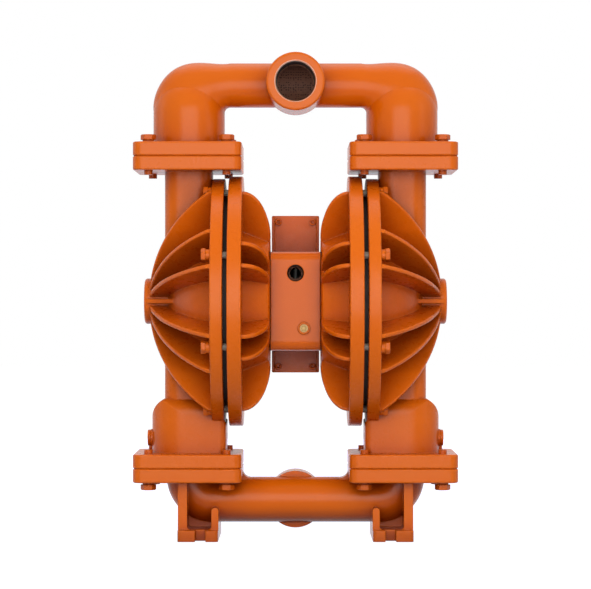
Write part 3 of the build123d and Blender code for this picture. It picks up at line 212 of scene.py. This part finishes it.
turned = {
    "linesPerMetre": 2500,
    "breaksPerMetre": 60,
    "lineNoise": {"Scale": 1.0, "Detail": 2.0},
    "relief": 0.0002,
    "reliefStrength": 0.12,
    "edgeRadius": 0.0006,
    "stainNoise": {"Scale": 1 / 0.006, "Detail": 4.0, "Roughness": 0.55},
    "stainRamp": {"FromMin": 0.4, "FromMax": 0.75, "ToMax": 0.55},
    "glossRamp": {"FromMin": 0.3, "FromMax": 0.7},
    "smoother": 0.06,  # how far the roughness falls and rises from its middle value
    "rougher": 0.08,
}


# Turned metal: fine rings from the tool, as a noise drawn out about 40 to 1 round the turning axis, a soft edge and,
# where the metal tarnishes, small darker stains.
def turnedMaterial(name, colour, roughness, axis="X", metallic=1.0, tarnish=None):
    material, tree, output, place = newMaterial(name)
    stretch = [turned["linesPerMetre"] if letter == axis else turned["breaksPerMetre"] for letter in "XYZ"]
    scaled = addNode(tree, "VectorMath", {"operation": "MULTIPLY"}, in0=place, in1=stretch).outputs[0]
    lines = addNode(tree, "TexNoise", None, Vector=scaled, **turned["lineNoise"]).outputs["Fac"]
    soft = addNode(tree, "Bevel", {"samples": 4}, Radius=turned["edgeRadius"]).outputs[0]
    depth = {"Strength": turned["reliefStrength"], "Distance": turned["relief"]}
    bump = addNode(tree, "Bump", None, Height=lines, Normal=soft, **depth)
    base = linear(colour)
    if tarnish:
        cloud = addNode(tree, "TexNoise", None, Vector=place, **turned["stainNoise"]).outputs["Fac"]
        stains = addNode(tree, "MapRange", None, Value=cloud, **turned["stainRamp"]).outputs[0]
        base = layer(tree, base, stains, 1.0, tarnish)
    ends = {"ToMin": roughness - turned["smoother"], "ToMax": roughness + turned["rougher"]}
    gloss = addNode(tree, "MapRange", None, Value=lines, **turned["glossRamp"], **ends).outputs[0]
    surface = {"BaseColor": base, "Roughness": gloss, "Metallic": metallic, "Normal": bump.outputs[0]}
    shader = addNode(tree, "BsdfPrincipled", None, **surface)
    tree.links.new(shader.outputs[0], output.inputs["Surface"])
    return material


mould = {
    "dustColour": "#5A5651",
    "dustNoise": {"Scale": 1 / 0.02, "Detail": 4.0, "Roughness": 0.55},
    "dustRamp": {"FromMin": 0.45, "FromMax": 0.8, "ToMax": 0.25},
    "grainNoise": {"Scale": 1 / 0.0005, "Detail": 2.0, "Roughness": 0.55},
    "relief": 0.0003,
    "reliefStrength": 0.25,
}


# Moulded rubber: near black, dull, with a fine mould grain 0.5 mm wide and pale dust in broad patches.
def rubberMaterial(name, colour, roughness):
    material, tree, output, place = newMaterial(name)
    cloud = addNode(tree, "TexNoise", None, Vector=place, **mould["dustNoise"]).outputs["Fac"]
    dust = addNode(tree, "MapRange", None, Value=cloud, **mould["dustRamp"]).outputs[0]
    base = layer(tree, linear(colour), dust, 1.0, mould["dustColour"])
    grain = addNode(tree, "TexNoise", None, Vector=place, **mould["grainNoise"]).outputs["Fac"]
    bump = addNode(tree, "Bump", None, Strength=mould["reliefStrength"], Distance=mould["relief"], Height=grain)
    surface = {"BaseColor": base, "Roughness": roughness, "Normal": bump.outputs[0]}
    shader = addNode(tree, "BsdfPrincipled", None, **surface)
    tree.links.new(shader.outputs[0], output.inputs["Surface"])
    return material


# Bores that stay unpainted, their cast skin darkened as painted shade: middle of the axis, its direction, radius,
# lowest and highest distance along it
alongX, alongY = (1, 0, 0), (0, 1, 0)
dischargeMiddle = (0, 0, heights["dischargePort"])
inletMiddle = (0, 0, heights["inletPort"])
dischargeBores = [(dischargeMiddle, alongX, 0.0258, -0.13, 0.13), (dischargeMiddle, alongY, 0.0286, -0.0757, 0.0)]
inletBores = [(inletMiddle, alongX, 0.0258, -0.13, 0.13), (inletMiddle, alongY, 0.0286, 0.0, 0.0757)]
blockBores = [((0, 0, heights["exhaust"]), alongY, 0.0121, -0.0718, 0.08)]

colours = {
    "zinc": "#A8ABAC",
    "rubber": "#161413",
    "ballRubber": "#1C1A19",
    "gasket": "#2A2622",
    "steel": "#B9B8B4",
    "castIron": "#4B4743",
    "bronze": "#9C6E38",
    "anodised": "#8F8E88",
    "brass": "#7C6442",
    "brassTarnish": "#6C5230",
    # the thread's dark brown is partly the cut iron's own colour and partly painted shade for the port's depth
    "thread": "#3A2A26",
    "machinedLip": "#C4BCB2",
}
casting, fastener = enamel["castingColour"], enamel["fastenerColour"]
materials = {
    "painted_casting": enamelMaterial("enamel_on_sand_casting", casting),
    "discharge": enamelMaterial("enamel_on_discharge_casting", casting, bores=dischargeBores),
    "inlet": enamelMaterial("enamel_on_inlet_casting", casting, bores=inletBores),
    "block": enamelMaterial("enamel_on_block_casting", casting, grain=0.7, bores=blockBores),
    "painted_fastener": enamelMaterial("enamel_on_fasteners", fastener, grain=0.5),
    "rim_bolt": enamelMaterial("enamel_on_rim_bolts", fastener, grain=0.5, bareGap=boltShank["gap"]),
    "plated_screw": turnedMaterial("zinc_plated_steel", colours["zinc"], roughness=0.38),
    "black_rubber": rubberMaterial("moulded_black_rubber", colours["rubber"], roughness=0.62),
    "ball_rubber": rubberMaterial("ground_rubber_ball", colours["ballRubber"], roughness=0.5),
    "seat_steel": turnedMaterial("turned_steel", colours["steel"], roughness=0.32, axis="Z"),
    "gasket": rubberMaterial("pressed_gasket_sheet", colours["gasket"], roughness=0.8),
    "piston_iron": turnedMaterial("turned_cast_iron", colours["castIron"], roughness=0.5, metallic=0.8),
    "ground_steel": turnedMaterial("ground_steel", colours["steel"], roughness=0.2),
    "bronze_bush": turnedMaterial("bearing_bronze", colours["bronze"], roughness=0.34),
    "anodised_sleeve": turnedMaterial("anodised_aluminium", colours["anodised"], roughness=0.42),
    "brass": turnedMaterial("turned_brass", colours["brass"], 0.3, axis="Y", tarnish=colours["brassTarnish"]),
    # port threads: dark iron, partly painted shade for the depth of the port
    "thread": turnedMaterial("cut_iron_thread_and_painted_shade", colours["thread"], 0.45, axis="Y", metallic=0.5),
    "lip": turnedMaterial("machined_lip", colours["machinedLip"], 0.45, axis="Y", metallic=0.5),
}
# Nodes whose material isn't the one of their slot
special = {
    "discharge_manifold": "discharge",
    "inlet_manifold": "inlet",
    "center_block": "block",
    "rim_bolts_left": "rim_bolt",
    "rim_bolts_right": "rim_bolt",
}
for entry in frame["record"]["subparts"]:
    item = nodes[entry["node"]]
    item.data.materials.clear()
    item.data.materials.append(materials[special.get(entry["node"], entry["material_slot"])])
print("materials made:", len(materials))


creaseAngle = 0.6  # radians between two faces, above which the edge of a capped piece stays sharp


# Makes a piece whose surface joins each row of points to the next. Every row closes on itself, and capped also closes
# the first and the last row.
def rowPiece(name, points, material, capped=False):
    rows, columns = points.shape[:2]
    here = np.arange(rows * columns).reshape(rows, columns)
    beside = np.roll(here, -1, axis=1)
    faces = np.stack((here[:-1], beside[:-1], beside[1:], here[1:]), axis=-1).reshape(-1, 4).tolist()
    if capped:
        faces += [here[0].tolist(), here[-1][::-1].tolist()]
    mesh = bpy.data.meshes.new(name)
    mesh.from_pydata(points.reshape(-1, 3).tolist(), [], faces)
    if capped:
        whole = bmesh.new()
        whole.from_mesh(mesh)
        bmesh.ops.recalc_face_normals(whole, faces=whole.faces)
        whole.to_mesh(mesh)
        whole.free()
    mesh.shade_smooth()
    if capped:
        mesh.set_sharp_from_angle(angle=creaseAngle)
    mesh.materials.append(materials[material])
    piece = bpy.data.objects.new(name, mesh)
    scene.collection.objects.link(piece)
    return piece


# Points at distances away from a line along Y through middle, all round it, where y is their place along the line.
def roundY(middle, away, y, turns):
    return np.stack((middle[0] + away * np.cos(turns), y + 0 * turns, middle[2] + away * np.sin(turns)), axis=-1)


aroundPort = np.linspace(0, 2 * np.pi, 96, endpoint=False)[None, :]

# Threads cut in the ports. Side is the way that a port faces along Y.
pipeThread = {"radius": 0.0281, "length": 0.0318, "pitch": 0.0022, "depth": 0.0016}
airThread = {"radius": 0.01165, "pitch": 0.0018, "depth": 0.0012}
threads = {
    "discharge_port_thread": {"middle": (0, -0.076, heights["dischargePort"]), "side": -1, **pipeThread},
    "inlet_port_thread": {"middle": (0, 0.076, heights["inletPort"]), "side": 1, **pipeThread},
    "exhaust_port_thread": {"middle": (0, -0.072, heights["exhaust"]), "side": -1, "length": 0.028, **airThread},
    "air_inlet_thread": {"middle": (0, 0.156, heights["airInlet"]), "side": 1, "length": 0.015, **airThread},
}
threadTaper = 0.02
pointsPerPitch = 10


# Points of a tapered internal thread that starts at a port's face and runs inward. The radius goes in and out as a
# triangle wave once each pitch, shallower over the first pitch and a half, and falls with the taper.
def threadWall(middle, side, radius, length, pitch, depth):
    inward = np.linspace(0, length, int(length / pitch * pointsPerPitch))[:, None]
    phase = inward / pitch - aroundPort / (2 * np.pi)
    wave = 1 - np.abs(2 * (phase % 1) - 1)
    start = np.clip(inward / (1.5 * pitch), 0, 1)
    away = radius - depth * wave * start - inward * threadTaper
    return roundY(middle, away, middle[1] - side * inward, aroundPort)


for name, size in threads.items():
    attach(rowPiece(name, threadWall(**size), "thread"), "housing")
print("threads made:", len(threads))

# Rubber diaphragms, clamped at the rim and carried by the shaft at the middle. Each is made of closed wedges side
# by side.
rubber = {
    "faces": (0.094, 0.100),
    "hole": 0.0093,
    "edge": 0.155,
    "roll": (0.080, 0.134),
    "rollDepth": 0.006,
    "beadCircle": 0.149,
    "beadRadius": 0.0046,
}
wedges = {"count": 16, "steps": 7, "still": 0.131, "carried": 0.075}


# Points of a diaphragm's section as distance along X and radius: flat from the hole, then a roll as half a sine wave,
# and a half round bead before the edge. The bead stands out on both faces.
def rubberSection(faces, hole, edge, roll, rollDepth, beadCircle, beadRadius):
    turn = np.linspace(0, np.pi, 13)
    share = np.linspace(0, 1, 17)
    wave = np.stack((-rollDepth * np.sin(np.pi * share), roll[0] + (roll[1] - roll[0]) * share), axis=1)
    bead = np.stack((-beadRadius * np.sin(turn), beadCircle - beadRadius * np.cos(turn)), axis=1)
    airSide = np.concatenate(([[0, hole]], wave, bead, [[0, edge]])) + (faces[0], 0)
    liquidSide = np.concatenate(([[0, hole]], wave, bead * (-1, 1), [[0, edge]])) + (faces[1], 0)
    return np.concatenate((airSide, liquidSide[::-1]))


section = rubberSection(**rubber)
wedgeAngle = 2 * np.pi / wedges["count"]
for sideName, side in (("left", -1), ("right", 1)):
    for number in range(wedges["count"]):
        middle = number * wedgeAngle
        turns = (middle + np.linspace(-0.5, 0.5, wedges["steps"]) * wedgeAngle)[:, None]
        away = section[None, :, 1]
        x = side * section[None, :, 0] + 0 * turns
        points = np.stack((x, away * np.cos(turns), heights["shaft"] + away * np.sin(turns)), axis=-1)
        name = f"diaphragm_{sideName}_wedge_{number + 1}"
        wedge = rowPiece(name, points, "black_rubber", capped=True)
        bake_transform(wedge)
        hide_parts("diaphragm_" + sideName)
print("diaphragm wedges made:", 2 * wedges["count"])

# Machined lips: a narrow bare ring where each port's chamfer cuts through the paint, sinking as a parabola
lips = {
    "discharge_port_lip": {"middle": (0, -0.0761, heights["dischargePort"]), "side": -1},
    "inlet_port_lip": {"middle": (0, 0.0761, heights["inletPort"]), "side": 1},
}
lipSize = {"outer": 0.0294, "inner": 0.0276, "sink": 0.0012}
for name, lip in lips.items():
    share = np.linspace(0, 1, 5)[:, None]
    away = lipSize["outer"] + (lipSize["inner"] - lipSize["outer"]) * share
    y = lip["middle"][1] - lip["side"] * lipSize["sink"] * share**2
    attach(rowPiece(name, roundY(lip["middle"], away, y, aroundPort), "lip"), "housing")
print("lips made:", len(lips))


# One for rays from the camera, a mirror or a glass, and nought for light that falls on something matt.
def seenDirectly(tree):
    path = addNode(tree, "LightPath").outputs
    mirrored, refracted = path["Is Glossy Ray"], path["Is Transmission Ray"]
    clear = addNode(tree, "Math", {"operation": "MAXIMUM"}, in0=mirrored, in1=refracted).outputs[0]
    return addNode(tree, "Math", {"operation": "MAXIMUM"}, in0=path["Is Camera Ray"], in1=clear).outputs[0]


# The floor: white where it is lit, with the pump's faint shadow on it
ground = {
    "white": "#FFFFFF",
    "glow": 0.95,
    "shade": "#808AC5",  # blue enough to take the yellow of the surround off the floor
    "bounce": "#716C66",  # what the pump gets back from the floor
    "reach": 9,
    "drop": 0.0005,
}
material, tree, output, place = newMaterial("white_floor")
matt = addNode(tree, "BsdfDiffuse", None, Color=linear(ground["bounce"]))
lit = addNode(tree, "BsdfDiffuse", None, Color=linear(ground["shade"]))
glow = addNode(tree, "Emission", None, Color=linear(ground["white"]), Strength=ground["glow"])
pale = addNode(tree, "AddShader", None, in0=lit.outputs[0], in1=glow.outputs[0])
both = addNode(tree, "MixShader", None, in0=seenDirectly(tree), in1=matt.outputs[0], in2=pale.outputs[0])
tree.links.new(both.outputs[0], output.inputs["Surface"])
around = ((-1, -1), (1, -1), (1, 1), (-1, 1))
corners = [(ground["reach"] * x, ground["reach"] * y, -ground["drop"]) for x, y in around]
floorMesh = bpy.data.meshes.new("floor")
floorMesh.from_pydata(corners, [], [(0, 1, 2, 3)])
floorMesh.materials.append(material)
floor = bpy.data.objects.new("floor", floorMesh)
scene.collection.objects.link(floor)

# Studio light: a wide soft front box, two side boxes, one overhead and one behind, which leaves no glint
lights = {
    "front": {"place": (0.0, -1.8, 0.25), "aim": (0, 0, 0.32), "size": (1.8, 1.9), "watts": 32.5},
    "left": {"place": (-2.5, 0.3, 0.8), "aim": (0, 0, 0.35), "size": (0.8, 2.0), "watts": 4},
    "right": {"place": (2.3, -0.95, 0.8), "aim": (0, 0, 0.35), "size": (0.8, 2.0), "watts": 4},
    "top": {"place": (0, 0.5, 2.3), "aim": (0, 0, 0.3), "size": (2.2, 1.5), "watts": 11},
    "back": {"place": (0, 2.4, 0.7), "aim": (0, 0, 0.35), "size": (2.4, 1.6), "watts": 26},
}
for name, light in lights.items():
    data = bpy.data.lights.new(name, "AREA")
    data.shape = "RECTANGLE"
    data.size, data.size_y = light["size"]
    data.energy = light["watts"]
    lamp = bpy.data.objects.new(name, data)
    lamp.location = light["place"]
    aim = np.array(light["aim"]) - np.array(light["place"])
    tilt = math.acos(-aim[2] / np.linalg.norm(aim))
    lamp.rotation_euler = (tilt, 0, math.atan2(aim[1], aim[0]) - math.pi / 2)
    lamp.visible_camera = False
    lamp.visible_glossy = name != "back"
    scene.collection.objects.link(lamp)

# The surround: warm, brightest in front of the pump, and falling off smoothly to its back
surround = {"colour": "#FFEDA6", "front": 0.85, "back": 0.12}
scene.world = bpy.data.worlds.new("studio")
scene.world.use_nodes = True
sky = scene.world.node_tree
sky.nodes.clear()
way = addNode(sky, "SeparateXYZ", None, in0=addNode(sky, "TexCoord").outputs["Generated"]).outputs["Y"]
ends = {"FromMin": 1.0, "FromMax": -1.0, "ToMin": surround["back"], "ToMax": surround["front"]}
level = addNode(sky, "MapRange", None, Value=way, **ends).outputs[0]
fill = addNode(sky, "Background", None, Color=linear(surround["colour"]), Strength=level)
white = addNode(sky, "Background", None, Color=(1, 1, 1, 1), Strength=1.0)
both = addNode(sky, "MixShader", None, in0=seenDirectly(sky), in1=fill.outputs[0], in2=white.outputs[0])
sky.links.new(both.outputs[0], addNode(sky, "OutputWorld").inputs["Surface"])
scene.view_settings.view_transform = "Standard"

# The camera: level, straight on, at the height of the shaft
camera = {"distance": 3.5, "lens": 149.1, "sensor": 36, "shiftY": 0.01134}
cameraData = bpy.data.cameras.new("camera")
cameraData.lens = camera["lens"]
cameraData.sensor_width = camera["sensor"]
cameraData.shift_y = camera["shiftY"]
eye = bpy.data.objects.new("camera", cameraData)
eye.location = (0, -camera["distance"], heights["shaft"])
eye.rotation_euler = (math.pi / 2, 0, 0)
scene.collection.objects.link(eye)
scene.camera = eye
print("stage, light and camera made")
